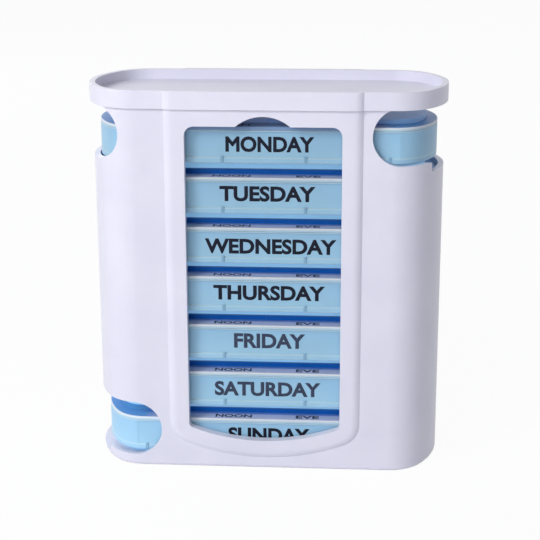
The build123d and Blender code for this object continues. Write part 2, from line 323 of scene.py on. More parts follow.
def soft_step(bm, outer_x, inner_x, wall_y, out_y, z):
    """Vertices from the wall up to the raised stretch, joined in order."""
    row = []
    for index in range(STEP_POINTS + 1):
        share = index / STEP_POINTS
        x = outer_x + (inner_x - outer_x) * share
        row.append(bm.verts.new((x, wall_y + (out_y - wall_y) * step_rise(share), z)))
    for one, two in zip(row, row[1:]):
        bm.edges.new((one, two))
    return row


def stepped_side(bm, left, right, wall_y, z):
    """The flat between two end vertices, with the raised stretch in its middle."""
    out_y = wall_y + (PROUD if wall_y > 0 else -PROUD)
    inner = PANEL_HALF - STEP_WIDTH
    first = soft_step(bm, -PANEL_HALF, -inner, wall_y, out_y, z)
    second = soft_step(bm, PANEL_HALF, inner, wall_y, out_y, z)
    bm.edges.new((left, first[0]))
    bm.edges.new((first[-1], second[-1]))
    bm.edges.new((second[0], right))


heights = [round(PROUD / mm * step_rise(index / STEP_POINTS), 2) for index in range(STEP_POINTS + 1)]
print("step heights in mm", heights)

# %% [markdown]
# Two rails below keep the real cap from sliding off. They could be plain boxes, but a ring of the
# plan outline follows the mouth of the case, and a box then keeps its straight part. Each tool runs
# a little past what it cuts, because faces that lie in one plane cut badly.

# %% Rails below the cap
PAST = 2 * mm
RAIL_GAP = 0.2 * mm
RAIL_WALL = 1.2 * mm
RAIL_ROOT = 0.5 * mm
RAIL_SPAN = (-40 * mm, 30 * mm)


def make_rails():
    """Two straight rails that grip inside the case, cut from a ring of the plan outline."""
    outside = OVERHANG + CASE_WALL + RAIL_GAP
    rails = to_object(plain_column(outside, cover_low.z, COVER_BOTTOM + RAIL_ROOT), "rails")
    hollow = plain_column(outside + RAIL_WALL, cover_low.z - PAST, COVER_BOTTOM + PAST)
    carve(rails, to_object(hollow, "hollow"))
    return carve(rails, box_tool(RAIL_SPAN, (-FAR, FAR), (0, 2 * FAR), "keep"), "INTERSECT")


test = make_rails()
print("rails: open edges", open_edges(test))
bpy.data.objects.remove(test)

# %% The cap itself
RECESS_INSET = 1.9 * mm
RECESS_DEPTH = 3.3 * mm
CAP_BEVEL = 0.55 * mm


def make_cap(rails):
    """The stepped outline raised to the rim's height, with its recess and its rails."""
    bm = bmesh.new()
    left_front, right_front, right_back, left_back = plan_outline(bm, 0, COVER_BOTTOM)
    stepped_side(bm, left_front, right_front, -RIM_HALF_DEPTH, COVER_BOTTOM)
    stepped_side(bm, left_back, right_back, RIM_HALF_DEPTH, COVER_BOTTOM)
    face = bmesh.ops.contextual_create(bm, geom=bm.edges[:])["faces"][0]
    raise_face(bm, face, RIM_HEIGHT)
    cap = to_object(bm, "cap_shell")
    recess = plain_column(RECESS_INSET, cover_high.z - RECESS_DEPTH, cover_high.z + PAST)
    carve(cap, to_object(recess, "recess"))
    carve(cap, rails, "UNION")
    print("cap: open edges", open_edges(cap))
    return soften(cap, CAP_BEVEL, 4)


cap = make_cap(make_rails())
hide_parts("top_cover")
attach(cap, "cover")

# %% [markdown]
# ## The case
# The case is one hollow moulding. The column gives its outside, a raised panel is joined to the
# front and another to the back, and then everything open is cut: the hollow, the window with its
# finger notch, the two tray exits, the finger hole and the two dips that let a tray's foot by.
# A solidify modifier could give the wall, but the floor and the panels would then be just as thick.
# An inner column cuts a hollow with a floor height of its own, and the panels stay solid.

# %% A face with a round bottom
FILLET_STEPS, ARC_STEPS = 8, 32


def bay_face(bm, half_width, lowest, high, sag, corner, y):
    """A face in the XZ plane: straight sides, and a round bottom that meets them in fillets."""
    radius = (half_width**2 + sag**2) / (2 * sag)
    arc_z = lowest + radius
    corner_x = half_width - corner
    corner_z = arc_z - sqrt((radius - corner) ** 2 - corner_x**2)
    turn = atan2(arc_z - corner_z, corner_x)
    vertex = first = bm.verts.new((-half_width, y, corner_z))
    for centre_x, centre_z, angle, steps in (
        (-corner_x, corner_z, turn, FILLET_STEPS),
        (0, arc_z, pi - 2 * turn, ARC_STEPS),
        (corner_x, corner_z, turn, FILLET_STEPS),
    ):
        made = bmesh.ops.spin(
            bm, geom=[vertex], cent=(centre_x, y, centre_z), axis=(0, 1, 0), angle=-angle, steps=steps,
            use_duplicate=False,
        )
        vertex = next(item for item in made["geom_last"] if isinstance(item, bmesh.types.BMVert))
    top_left = bm.verts.new((-half_width, y, high))
    top_right = bm.verts.new((half_width, y, high))
    bm.edges.new((first, top_left))
    bm.edges.new((top_left, top_right))
    bm.edges.new((top_right, vertex))
    return top_left, top_right


test = bmesh.new()
bay_face(test, 20 * mm, 0, 30 * mm, 5 * mm, 4 * mm, 0)
print("bay face vertices", len(test.verts))
test.free()

# %% [markdown]
# ## The raised panel
# The panel is a slab on the wall, and its rim eases down as the cap's step does. A bevel would give
# it a plain quarter round. Insets of one face, each a little further out along the same power
# curve, keep the panel and the cap alike.

# %% Raised panel
PANEL_SUNK = 0.03 * mm
PANEL_LOWEST = 4.0 * mm
PANEL_SAG = 7.0 * mm
PANEL_CORNER = 8.0 * mm
SPARE = 10 * mm


def make_panel(side):
    """A slab whose rim starts just under the wall, so that the two surfaces cross cleanly."""
    bm = bmesh.new()
    wall_y = -(RIM_HALF_DEPTH - OVERHANG) + PANEL_SUNK
    bay_face(bm, PANEL_HALF, PANEL_LOWEST, case_high.z + 2 * SPARE, PANEL_SAG, PANEL_CORNER, wall_y)
    face = bmesh.ops.contextual_create(bm, geom=bm.edges[:])["faces"][0]
    if face.normal.y > 0:
        face.normal_flip()
    base = face.verts[:]
    made = bmesh.ops.extrude_face_region(bm, geom=[face], use_keep_orig=True)
    root = next(item for item in made["geom"] if isinstance(item, bmesh.types.BMFace))
    for index in range(STEP_POINTS):
        gain = step_rise((index + 1) / STEP_POINTS) - step_rise(index / STEP_POINTS)
        bmesh.ops.inset_region(
            bm, faces=[root], thickness=STEP_WIDTH / STEP_POINTS, depth=(PROUD + PANEL_SUNK) * gain,
            use_even_offset=True, use_boundary=True,
        )
    bmesh.ops.translate(bm, verts=base, vec=(0, CASE_WALL / 2, 0))
    bmesh.ops.recalc_face_normals(bm, faces=bm.faces[:])
    if side > 0:
        bmesh.ops.rotate(bm, verts=bm.verts[:], cent=(0, 0, 0), matrix=Matrix.Rotation(pi, 3, "Z"))
    return to_object(bm, "panel")


test = make_panel(-1)
print("panel: open edges", open_edges(test))
bpy.data.objects.remove(test)

# %% The outer body
UNDER_BEVEL = 1.5 * mm
ON_FLOOR = 0.01 * mm


def outer_body():
    """The solid column with both panels. All start too tall, and are then cut level together."""
    bm = plain_column(OVERHANG, 0, case_high.z + SPARE)
    low_edges = [edge for edge in bm.edges if all(v.co.z < ON_FLOOR for v in edge.verts)]
    bmesh.ops.bevel(
        bm, geom=low_edges, offset=UNDER_BEVEL, segments=5, profile=0.5, affect="EDGES", material=-1
    )
    body = to_object(bm, "case_shell")
    carve(body, make_panel(-1), "UNION")
    carve(body, make_panel(1), "UNION")
    return carve(body, box_tool((-FAR, FAR), (-FAR, FAR), (case_high.z, case_high.z + FAR), "above"))


case = outer_body()
print("outer body: open edges", open_edges(case))

# %% [markdown]
# ## Window and notch
# The window shows the day names, and the notch above it gives a fingertip room. Each is cut by a
# solid that lies along Y and ends inside the hollow, so the back wall stays whole.

# %% Window and notch tools
WINDOW_HALF = 24.4 * mm
WINDOW_LOWEST = 10.2 * mm
WINDOW_TOP = tray_base["monday"] + 14.85 * mm
WINDOW_SAG = 4.6 * mm
LOWER_FILLET = 1.6 * mm
UPPER_FILLET = 3.0 * mm
NOTCH_HALF = 8.5 * mm
NOTCH_RISE = 3.15 * mm
TOOL_FRONT = -40 * mm
TOOL_LENGTH = 30 * mm


def prism_y(bm):
    """Give an outline in the XZ plane a second face, and return its vertices to move along Y."""
    face = bmesh.ops.contextual_create(bm, geom=bm.edges[:])["faces"][0]
    made = bmesh.ops.extrude_face_region(bm, geom=[face], use_keep_orig=True)
    return [item for item in made["geom"] if isinstance(item, bmesh.types.BMVert)]


def make_window():
    """A prism with straight sides, a round bottom and rounded upper corners."""
    bm = bmesh.new()
    top_corners = bay_face(
        bm, WINDOW_HALF, WINDOW_LOWEST, WINDOW_TOP, WINDOW_SAG, LOWER_FILLET, TOOL_FRONT
    )
    bmesh.ops.bevel(
        bm, geom=top_corners, offset=UPPER_FILLET, segments=7, profile=0.5, affect="VERTICES", material=-1
    )
    bmesh.ops.translate(bm, verts=prism_y(bm), vec=(0, TOOL_LENGTH, 0))
    bmesh.ops.recalc_face_normals(bm, faces=bm.faces[:])
    return to_object(bm, "window_tool")


def round_bar(name, radius, segments, y, x, z):
    """A cylinder that lies along Y between two places, as a cutting tool."""
    bm = bmesh.new()
    bmesh.ops.create_cone(
        bm, cap_ends=True, segments=segments, radius1=radius, radius2=radius, depth=y[1] - y[0]
    )
    bmesh.ops.rotate(bm, verts=bm.verts[:], cent=(0, 0, 0), matrix=Matrix.Rotation(pi / 2, 3, "X"))
    bmesh.ops.translate(bm, verts=bm.verts[:], vec=(x, (y[0] + y[1]) / 2, z))
    return to_object(bm, name)


def make_notch():
    """The finger notch above the window is part of a cylinder that lies along Y."""
    radius = (NOTCH_HALF**2 + NOTCH_RISE**2) / (2 * NOTCH_RISE)
    top = WINDOW_TOP + NOTCH_RISE
    return round_bar("notch_tool", radius, 96, (TOOL_FRONT, TOOL_FRONT + TOOL_LENGTH), 0, top - radius)


for tool in (make_window(), make_notch()):
    print(tool.name, "open edges", open_edges(tool))
    bpy.data.objects.remove(tool)

# %% [markdown]
# ## Openings at the ends
# Seen from the front, each opening has a round inner end and runs out past the end of the case. A
# cylinder and a box joined together cut the front wall, the end and the back wall at once. The sill
# is level but for a shallow dip, which lets a tray's foot slide by.

# %% Tools for the openings at the ends
CUT_RADIUS = 9.1 * mm
EXIT_CENTRE = 42.73 * mm
FINGER_CENTRE = 54.5 * mm
CHANNEL_HALF = 16.2 * mm
FOOT_HEIGHT = 2.8 * mm
FOOT_CLEAR = 0.2 * mm
UPPER_SILL = tray_base["monday"] + FOOT_HEIGHT - FOOT_CLEAR
LOWER_SILL = 3.9 * mm
FLOOR_TOP = 1.9 * mm


def end_opening(side, centre, sill, ceiling, name):
    """Cylinder and box that open the front wall, one end and the back wall in one cut."""
    round_part = round_bar(name, CUT_RADIUS, 72, (-FAR, FAR), side * centre, sill + CUT_RADIUS)
    reach = sorted((side * centre, side * FAR))
    return carve(round_part, box_tool(reach, (-FAR, FAR), (sill, ceiling), "reach"), "UNION")


def sill_dip(side, low, sill, name):
    """The shallow channel in an exit's sill."""
    reach = sorted((side * EXIT_CENTRE, side * FAR))
    return box_tool(reach, (-CHANNEL_HALF, CHANNEL_HALF), (low, sill + mm), name)


print(f"sills at {UPPER_SILL / mm:.1f} mm and {LOWER_SILL / mm:.1f} mm")

# %% The case shell
CASE_BEVEL = 0.45 * mm


def carve_case(case):
    """Hollow the body, open it and round its edges."""
    hollow = plain_column(OVERHANG + CASE_WALL, FLOOR_TOP, case_high.z + SPARE / 2)
    carve(case, to_object(hollow, "hollow"))
    carve(case, make_window())
    carve(case, make_notch())
    carve(case, end_opening(1, EXIT_CENTRE, UPPER_SILL, 2 * FAR, "upper_right"))
    carve(case, end_opening(-1, FINGER_CENTRE, UPPER_SILL, 2 * FAR, "upper_left"))
    carve(case, end_opening(-1, EXIT_CENTRE, LOWER_SILL, LOWER_SILL + 2 * CUT_RADIUS, "lower_left"))
    carve(case, sill_dip(1, tray_base["monday"] - FOOT_CLEAR, UPPER_SILL, "upper_dip"))
    carve(case, sill_dip(-1, FLOOR_TOP, LOWER_SILL, "lower_dip"))
    print("carved body: open edges", open_edges(case))
    soften(case, CASE_BEVEL, 3)


carve_case(case)
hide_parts("case_body")
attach(case, "case")

# %% [markdown]
# ## Trays and lids
# The construction model already has every tray and lid in full: foot, label recess, ribs, hinge
# pins. Modelling 35 pieces again would gain nothing, but their edges are sharp, and moulded edges
# never are. So each one is copied, its loose triangles are merged back into whole faces, and a
# narrow bevel rounds what is sharp. A tray's lids are moved nearly together, because the real
# seams are only hairlines.

# %% Closing the seams between lids
LID_SPLITS = [-26.0 * mm, 0.0, 26.0 * mm]
SPLIT_HALF_GAP = 0.2 * mm
SEEN_HALF_GAP = 0.02 * mm
NEAR_SPLIT = 1.1 * SPLIT_HALF_GAP


def close_split(bm):
    """Draw a lid's side faces nearly together, as a soft moulding's are."""
    for vertex in bm.verts:
        for split in LID_SPLITS:
            offset = vertex.co.x - split
            if abs(offset) < NEAR_SPLIT:
                vertex.co.x = split + (SEEN_HALF_GAP if offset > 0 else -SEEN_HALF_GAP)


print("seams drawn", 2 * SEEN_HALF_GAP / mm, "mm wide")

# %% Softened trays and lids
TRAY_BEVEL = 0.15 * mm
LID_BEVEL = 0.08 * mm


def softened_copy(node_name, width):
    """A copy of a construction piece with rounded edges, which takes its place."""
    bm = bmesh.new()
    bm.from_mesh(frame["nodes"][node_name].data)
    if node_name.startswith("lid_"):
        close_split(bm)
    copy = soften(to_object(bm, f"moulded_{node_name}"), width, 2, 35)
    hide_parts(node_name)
    return copy


trays, lids = {}, {}
for day in DAYS:
    trays[day] = softened_copy(f"tray_{day}", TRAY_BEVEL)
    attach(trays[day], BODY_OF_DAY[day])
    for part in PARTS_OF_DAY:
        lids[day, part] = softened_copy(f"lid_{day}_{part}", LID_BEVEL)
        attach(lids[day, part], BODY_OF_DAY[day])
print(len(trays), "trays and", len(lids), "lids")

# %% [markdown]
# ## Day names
# The names are printed on the tray fronts. An image could carry them, but it would blur close up.
# Text gives true letters, and a small outward offset makes them bold. They are turned into a mesh
# before they are moved, so that each name's object stays at the origin like every other piece.

# %% Lettering helper
INK_THICK = 0.06 * mm


def lettering(name, words, height, width, weight, place, turn):
    """A word as a thin mesh with a given cap height and width, moved onto its surface."""
    curve = bpy.data.curves.new(name, "FONT")
    curve.body = words
    curve.size = 1.0
    curve.align_x = "CENTER"
    curve.bevel_depth = weight
    curve.bevel_resolution = 0
    curve.resolution_u = 4
    curve.extrude = 0.01
    text = bpy.data.objects.new(name, curve)
    scene.collection.objects.link(text)
    bpy.context.view_layer.update()
    mesh = bpy.data.meshes.new_from_object(text.evaluated_get(bpy.context.evaluated_depsgraph_get()))
    bpy.data.objects.remove(text)
    bm = bmesh.new()
    bm.from_mesh(mesh)
    lows = [min(v.co[axis] for v in bm.verts) for axis in range(3)]
    highs = [max(v.co[axis] for v in bm.verts) for axis in range(3)]
    middle = [-(low + high) / 2 for low, high in zip(lows, highs)]
    bmesh.ops.translate(bm, verts=bm.verts[:], vec=middle)
    size = [high - low for low, high in zip(lows, highs)]
    bmesh.ops.scale(bm, verts=bm.verts[:], vec=(width / size[0], height / size[1], INK_THICK / size[2]))
    bmesh.ops.rotate(bm, verts=bm.verts[:], cent=(0, 0, 0), matrix=turn)
    bmesh.ops.translate(bm, verts=bm.verts[:], vec=place)
    return to_object(bm, name)


test = lettering("test", "TUESDAY", 5 * mm, 30 * mm, 0.03, (0, 0, 0), Matrix.Identity(3))
print("a name has", len(test.data.polygons), "faces")
bpy.data.objects.remove(test)

# %% [markdown]
# The letters' height is the same on every tray. Each name's width, its shift from the middle and
# the height of its middle above the tray's foot are given in millimetres, as they are printed.

# %% The seven names
CAP_HEIGHT = 4.95 * mm
TRAY_INSET = 3.3 * mm
LABEL_DEPTH = 0.3 * mm
LABEL_Y = -(RIM_HALF_DEPTH - TRAY_INSET - LABEL_DEPTH)
NAME_WEIGHT = 0.036
NAME_LAYOUT = {
    "monday": (27.6, 1.9, 8.8), "tuesday": (30.1, 1.1, 9.2), "wednesday": (41.6, 2.0, 8.3),
    "thursday": (35.6, 1.5, 9.1), "friday": (22.9, 1.6, 9.1), "saturday": (34.4, 0.9, 8.7),
    "sunday": (26.7, 1.3, 8.8),
}
upright = Matrix.Rotation(pi / 2, 3, "X")
names = {}
for day, (width, shift, middle) in NAME_LAYOUT.items():
    place = (shift * mm, LABEL_Y - INK_THICK / 2, tray_base[day] + middle * mm)
    names[day] = lettering(
        f"name_{day}", day.upper(), CAP_HEIGHT, width * mm, NAME_WEIGHT, place, upright
    )
    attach(names[day], BODY_OF_DAY[day])
print(len(names), "names")

# %% [markdown]
# ## Words on the lids
# Each lid carries the time of day near its front edge. The words are made the same way and laid
# flat. Every word could be a piece of its own, but the four of a tray always move together, so they
# are joined into one.

# %% Lid words
LID_TOP = 14.4 * mm
WORD_HEIGHT = 2.6 * mm
WORD_Y = -19.2 * mm
WORD_X = {"morn": -31.0, "noon": -10.4, "eve": 13.8, "bed": 31.0}
WORD_WIDTH = {"morn": 8.6, "noon": 12.0, "eve": 7.6, "bed": 7.4}
WORD_WEIGHT = 0.03
flat = Matrix.Identity(3)
words = {}
for day in DAYS:
    bm = bmesh.new()
    for part in PARTS_OF_DAY:
        place = (WORD_X[part] * mm, WORD_Y, tray_base[day] + LID_TOP + INK_THICK / 2)
        width = WORD_WIDTH[part] * mm
        word = lettering("word", part.upper(), WORD_HEIGHT, width, WORD_WEIGHT, place, flat)
        bm.from_mesh(word.data)
        bpy.data.objects.remove(word)
    words[day] = to_object(bm, f"lid_words_{day}")
    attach(words[day], BODY_OF_DAY[day])
print(len(words), "sets of lid words")

# %% [markdown]
# ## White plastic
# Moulded plastic is never one flat colour. The white shell has a faint cool cloudiness, and a fine
# grain in its gloss and its surface. A painted image could hold these, but noise on object
# coordinates needs no unwrapping and keeps its scale on every piece.

# %% Material helpers
def new_material(name):
    """A material with its nodes, its links and its main shader."""
    material = bpy.data.materials.new(name)
    material.use_nodes = True
    nodes = material.node_tree.nodes
    return material, nodes, material.node_tree.links, nodes["Principled BSDF"]


def noise(nodes, links, scale, detail):
    """A noise texture on the piece's own object coordinates."""
    place = nodes.new("ShaderNodeTexCoord")
    texture = nodes.new("ShaderNodeTexNoise")
    texture.inputs["Scale"].default_value = scale
    texture.inputs["Detail"].default_value = detail
    links.new(place.outputs["Object"], texture.inputs["Vector"])
    return texture.outputs["Fac"]


def ramp(nodes, links, source, low, high, start=0.3, end=0.7):
    """Map a noise between two colours."""
    made = nodes.new("ShaderNodeValToRGB")
    made.color_ramp.elements[0].position = start
    made.color_ramp.elements[0].color = (*low, 1)
    made.color_ramp.elements[1].position = end
    made.color_ramp.elements[1].color = (*high, 1)
    links.new(source, made.inputs["Fac"])
    return made.outputs["Color"]


def bump(nodes, links, source, strength, distance):
    """A slight relief from a noise."""
    made = nodes.new("ShaderNodeBump")
    made.inputs["Strength"].default_value = strength
    made.inputs["Distance"].default_value = distance
    links.new(source, made.inputs["Height"])
    return made.outputs["Normal"]


def grey(value):
    return (value, value, value)


print("a middle grey is", grey(0.5))

# %% White shell plastic
PLASTIC_IOR = 1.49
GRAIN_DEPTH = 0.0001


def white_plastic(name, low, high):
    """Satin white that lets a little light in under its surface."""
    material, nodes, links, shader = new_material(name)
    cloud = noise(nodes, links, 60, 3)
    links.new(ramp(nodes, links, cloud, low, high), shader.inputs["Base Color"])
    grain = noise(nodes, links, 900, 4)
    links.new(ramp(nodes, links, grain, grey(0.3), grey(0.42)), shader.inputs["Roughness"])
    links.new(bump(nodes, links, grain, 0.05, GRAIN_DEPTH), shader.inputs["Normal"])
    shader.inputs["IOR"].default_value = PLASTIC_IOR
    shader.inputs["Subsurface Weight"].default_value = 0.12
    shader.inputs["Subsurface Radius"].default_value = (0.004, 0.004, 0.005)
    shader.inputs["Subsurface Scale"].default_value = 0.5
    return material


white_case = white_plastic("white_case", (0.70, 0.695, 0.81), (0.74, 0.735, 0.84))
white_cap = white_plastic("white_cap", (0.71, 0.705, 0.82), (0.75, 0.745, 0.85))
case.data.materials.append(white_case)
cap.data.materials.append(white_cap)
print("white on", case.name, "and", cap.name)

# %% [markdown]
# ## Blue plastic
# The trays and the lids are one tinted plastic that lets some light through. Thin edges scatter
# light and look nearly white, while the raised part of a lid, where one looks through several
# layers in shade, turns deep blue. Light traced through every wall would show this too, but slowly
# and with much noise. So this light and shade is painted into the colour: a ramp over the height
# within a tray, which repeats at each pitch.

# %% Measuring where a point is
LEVEL_SPAN = PITCH / mm
HEIGHT_SPAN = 120
LENGTH_SPAN = 60
DEPTH_SPAN = 30
FOOT_MARGIN = 0.05


def arithmetic(nodes, links, operation, source, value):
    """One operation on a value, with a plain number as its other side."""
    made = nodes.new("ShaderNodeMath")
    made.operation = operation
    links.new(source, made.inputs[0])
    made.inputs[1].default_value = value
    return made.outputs[0]


def coordinate(nodes, links, axis):
    """A point's place along one axis of the object, in millimetres."""
    place = nodes.new("ShaderNodeTexCoord")
    split = nodes.new("ShaderNodeSeparateXYZ")
    links.new(place.outputs["Object"], split.inputs[0])
    return arithmetic(nodes, links, "MULTIPLY", split.outputs[axis], 1 / mm)


def side_distance(nodes, links, axis):
    """The distance from the middle of the object along one axis, in millimetres."""
    return arithmetic(nodes, links, "ABSOLUTE", coordinate(nodes, links, axis), 0)


def height_in_tray(nodes, links):
    """The height, counted again from just under the foot of each tray."""
    start = tray_base["sunday"] / mm - FOOT_MARGIN
    raised = arithmetic(nodes, links, "SUBTRACT", coordinate(nodes, links, "Z"), start)
    return arithmetic(nodes, links, "MODULO", raised, LEVEL_SPAN)


print(f"the height in a tray repeats every {LEVEL_SPAN:.1f} mm")

# %% Ramps and masks over a distance
NONE, FULL = grey(0), grey(1)


def banded(nodes, links, source, span, stops):
    """A colour for each place on a scale, from pairs of millimetres and colour."""
    scaled = arithmetic(nodes, links, "DIVIDE", source, span)
    made = nodes.new("ShaderNodeValToRGB")
    elements = made.color_ramp.elements
    while len(elements) < len(stops):
        elements.new(0.5)
    for element, (level, colour) in zip(elements, stops):
        element.position = level / span
        element.color = (*colour, 1)
    links.new(scaled, made.inputs["Fac"])
    return made.outputs["Color"]


def plateau(rise, top, end, fall):
    """Stops of a mask that is full between two places and empty outside, with soft sides."""
    return [(rise, NONE), (top, FULL), (end, FULL), (fall, NONE)]


def multiplied(nodes, links, one, two):
    """The product of two colours or two masks."""
    mix = nodes.new("ShaderNodeMix")
    mix.data_type = "RGBA"
    mix.blend_type = "MULTIPLY"
    mix.inputs["Factor"].default_value = 1.0
    links.new(one, mix.inputs[6])
    links.new(two, mix.inputs[7])
    return mix.outputs[2]


def tinted(nodes, links, colour, tint, share):
    """Lay a plain tint over a colour, where the share is one."""
    mix = nodes.new("ShaderNodeMix")
    mix.data_type = "RGBA"
    links.new(share, mix.inputs["Factor"])
    links.new(colour, mix.inputs[6])
    mix.inputs[7].default_value = (*tint, 1)
    return mix.outputs[2]


print("a mask from 1 to 4 has the stops", plateau(1, 2, 3, 4))

# %% [markdown]
# ## Tints of the blue
# On the real trays the foot and the ledges look light, the ribs look darker, and the raised part of
# a lid is deepest where it lies in shade behind other layers. Most of these tints are painted light:
# painted highlights on the edges, ledges and rims, a painted reflection on the lid flange, and painted
# shade on the raised part and on the edge in the window's shade. Each place has its own tint, and
# masks over height, length and depth say where it goes. Painting by vertex would need far more faces.

# %% Tints
FOOT_BLUE = (0.38, 0.78, 1.0)
BODY_LOW = (0.44, 0.76, 0.99)
BODY_HIGH = (0.39, 0.70, 0.97)
# Painted highlight: a lighter line along the ledge above the ribs.
PAINTED_LEDGE_HIGHLIGHT = (0.60, 0.86, 1.0)
# Painted highlight: near white on the tray body's lower edge and on the lids' front edge.
PAINTED_EDGE_HIGHLIGHT = (0.90, 0.95, 1.0)
# Painted highlight: a lighter blue on each tray's top rim and on the front face of each lid.
PAINTED_RIM_HIGHLIGHT = (0.58, 0.82, 0.98)
# Painted reflection: a pale lilac on the flat outer flange of each lid, where the white around it is
# reflected at a low angle.
PAINTED_FLANGE_REFLECTION = (0.74, 0.78, 0.98)
# Painted shade: the deep blue of a lid's raised part, which lies in shade behind several layers of blue
# plastic.
PAINTED_PLATEAU_SHADE = (0.004, 0.20, 0.80)
# Painted light: the lids' round ends get a blue made lighter to lift the shade of the cap over them.
END_BLUE_WITH_PAINTED_LIGHT = (0.14, 0.42, 0.80)
RIB_BLUE = (0.31, 0.56, 0.78)
DEPTH_GLOW = (0.10, 0.19, 0.30)
LID_TOP_BLUE = (0.13, 0.30, 0.56)
EDGE_SHADE = (0.28, 0.44, 0.72)
TOP_GLOW = (0.06, 0.07, 0.09)
print("deepest tint", PAINTED_PLATEAU_SHADE, "and palest", PAINTED_EDGE_HIGHLIGHT)

# %% Masks for the lids and the ribs, in millimetres
PLATE_TOP = LID_TOP / mm
FLANGE_START, FLANGE_SIDE = 17.5, 0.4
FLANGE_END, END_SIDE = 37.0, 3
EDGE_LOW = 13.0
SHADE_HALF, SHADE_SIDE = 26, 2
RIB_PLACES = (13.0, 39.0)
RIB_HALF, RIB_SIDE = 0.4, 0.1
RIB_LOW, RIB_HIGH, RIB_FADE = 3.3, 5.0, 0.2


def flange_masks(nodes, links, level):
    """Masks for the straight outer flange of a lid, where the painted reflection goes, and for all
    that is raised at its round ends, where the blue lightened against the cap's shade goes.
    """
    above = plateau(PLATE_TOP, PLATE_TOP + 0.03, PLATE_TOP + 0.2, PLATE_TOP + 0.3)
    above_edge = banded(nodes, links, level, LEVEL_SPAN, above[:2])
    flat_top = banded(nodes, links, level, LEVEL_SPAN, above)
    depth = side_distance(nodes, links, "Y")
    starts = [(FLANGE_START - FLANGE_SIDE, NONE), (FLANGE_START + FLANGE_SIDE, FULL)]
    outside = banded(nodes, links, depth, DEPTH_SPAN, starts)
    length = side_distance(nodes, links, "X")
    near, far = FLANGE_END - END_SIDE, FLANGE_END + END_SIDE
    straight = banded(nodes, links, length, LENGTH_SPAN, [(near, FULL), (far, NONE)])
    round_end = banded(nodes, links, length, LENGTH_SPAN, [(near, NONE), (far, FULL)])
    outer = multiplied(nodes, links, multiplied(nodes, links, outside, straight), flat_top)
    return outer, multiplied(nodes, links, round_end, above_edge)


def shaded_edge(nodes, links):
    """One on the top lids' front edge behind the window's upper rim, which shades it."""
    foot = tray_base["monday"] / mm
    stops = plateau(foot + EDGE_LOW, foot + EDGE_LOW + 0.1, foot + PLATE_TOP, foot + PLATE_TOP + 0.02)
    edge = banded(nodes, links, coordinate(nodes, links, "Z"), HEIGHT_SPAN, stops)
    sides = [(SHADE_HALF, FULL), (SHADE_HALF + SHADE_SIDE, NONE)]
    beside = banded(nodes, links, side_distance(nodes, links, "X"), LENGTH_SPAN, sides)
    return multiplied(nodes, links, edge, beside)


def rib_mask(nodes, links, level):
    """One on the small upright ribs under the label, which look darker than the panel."""
    stops = []
    for place in RIB_PLACES:
        left, right = place - RIB_HALF, place + RIB_HALF
        stops += plateau(left - RIB_SIDE, left, right, right + RIB_SIDE)
    beside = banded(nodes, links, side_distance(nodes, links, "X"), LENGTH_SPAN, stops)
    stops = plateau(RIB_LOW - RIB_FADE, RIB_LOW, RIB_HIGH, RIB_HIGH + RIB_FADE)
    return multiplied(nodes, links, beside, banded(nodes, links, level, LEVEL_SPAN, stops))


print("ribs at", RIB_PLACES, "mm on each side")

# %% [markdown]
# Light that comes through thin walls also brightens the foot of each tray and the lids at the top.
# A faint glow of their own stands in for it. True light through many thin walls would take far
# longer to render and would change little else.

# %% Colour and glow
def lid_tints(nodes, links, level, colour):
    """Paint light onto the lids: a lightened blue on the round ends, a painted reflection on the
    outer flange, and painted shade on the edge in the window's shade.
    """
    outer, round_end = flange_masks(nodes, links, level)
    colour = tinted(nodes, links, colour, END_BLUE_WITH_PAINTED_LIGHT, round_end)
    colour = tinted(nodes, links, colour, PAINTED_FLANGE_REFLECTION, outer)
    return tinted(nodes, links, colour, EDGE_SHADE, shaded_edge(nodes, links))


def cloud_and_painted_light(nodes, links, colour):
    """Painted light and shade: a little darker towards the top and in the middle, lighter low down
    and at the open ends; and a faint random cloudiness.
    """
    up = coordinate(nodes, links, "Z")
    painted_light_fade = banded(nodes, links, up, HEIGHT_SPAN, [(10, FULL), (105, grey(0.82))])
    beside = side_distance(nodes, links, "X")
    painted_end_light = banded(nodes, links, beside, LENGTH_SPAN, [(30, grey(0.85)), (40, FULL)])
    painted_light_fade = multiplied(nodes, links, painted_light_fade, painted_end_light)
    cloud = ramp(nodes, links, noise(nodes, links, 90, 2), grey(0.94), FULL)
    return multiplied(nodes, links, multiplied(nodes, links, colour, painted_light_fade), cloud)


def glow_colour(nodes, links, level, is_lid):
    """A faint light on top of Monday's lids, or on the foot of each tray."""
    if is_lid:
        top = tray_base["monday"] / mm + PLATE_TOP
        up = coordinate(nodes, links, "Z")
        return banded(nodes, links, up, HEIGHT_SPAN, [(top, NONE), (top + 0.1, TOP_GLOW)])
    return banded(nodes, links, level, LEVEL_SPAN, [(2.5, DEPTH_GLOW), (2.8, NONE)])


print("foot glow", DEPTH_GLOW, "and top glow", TOP_GLOW)


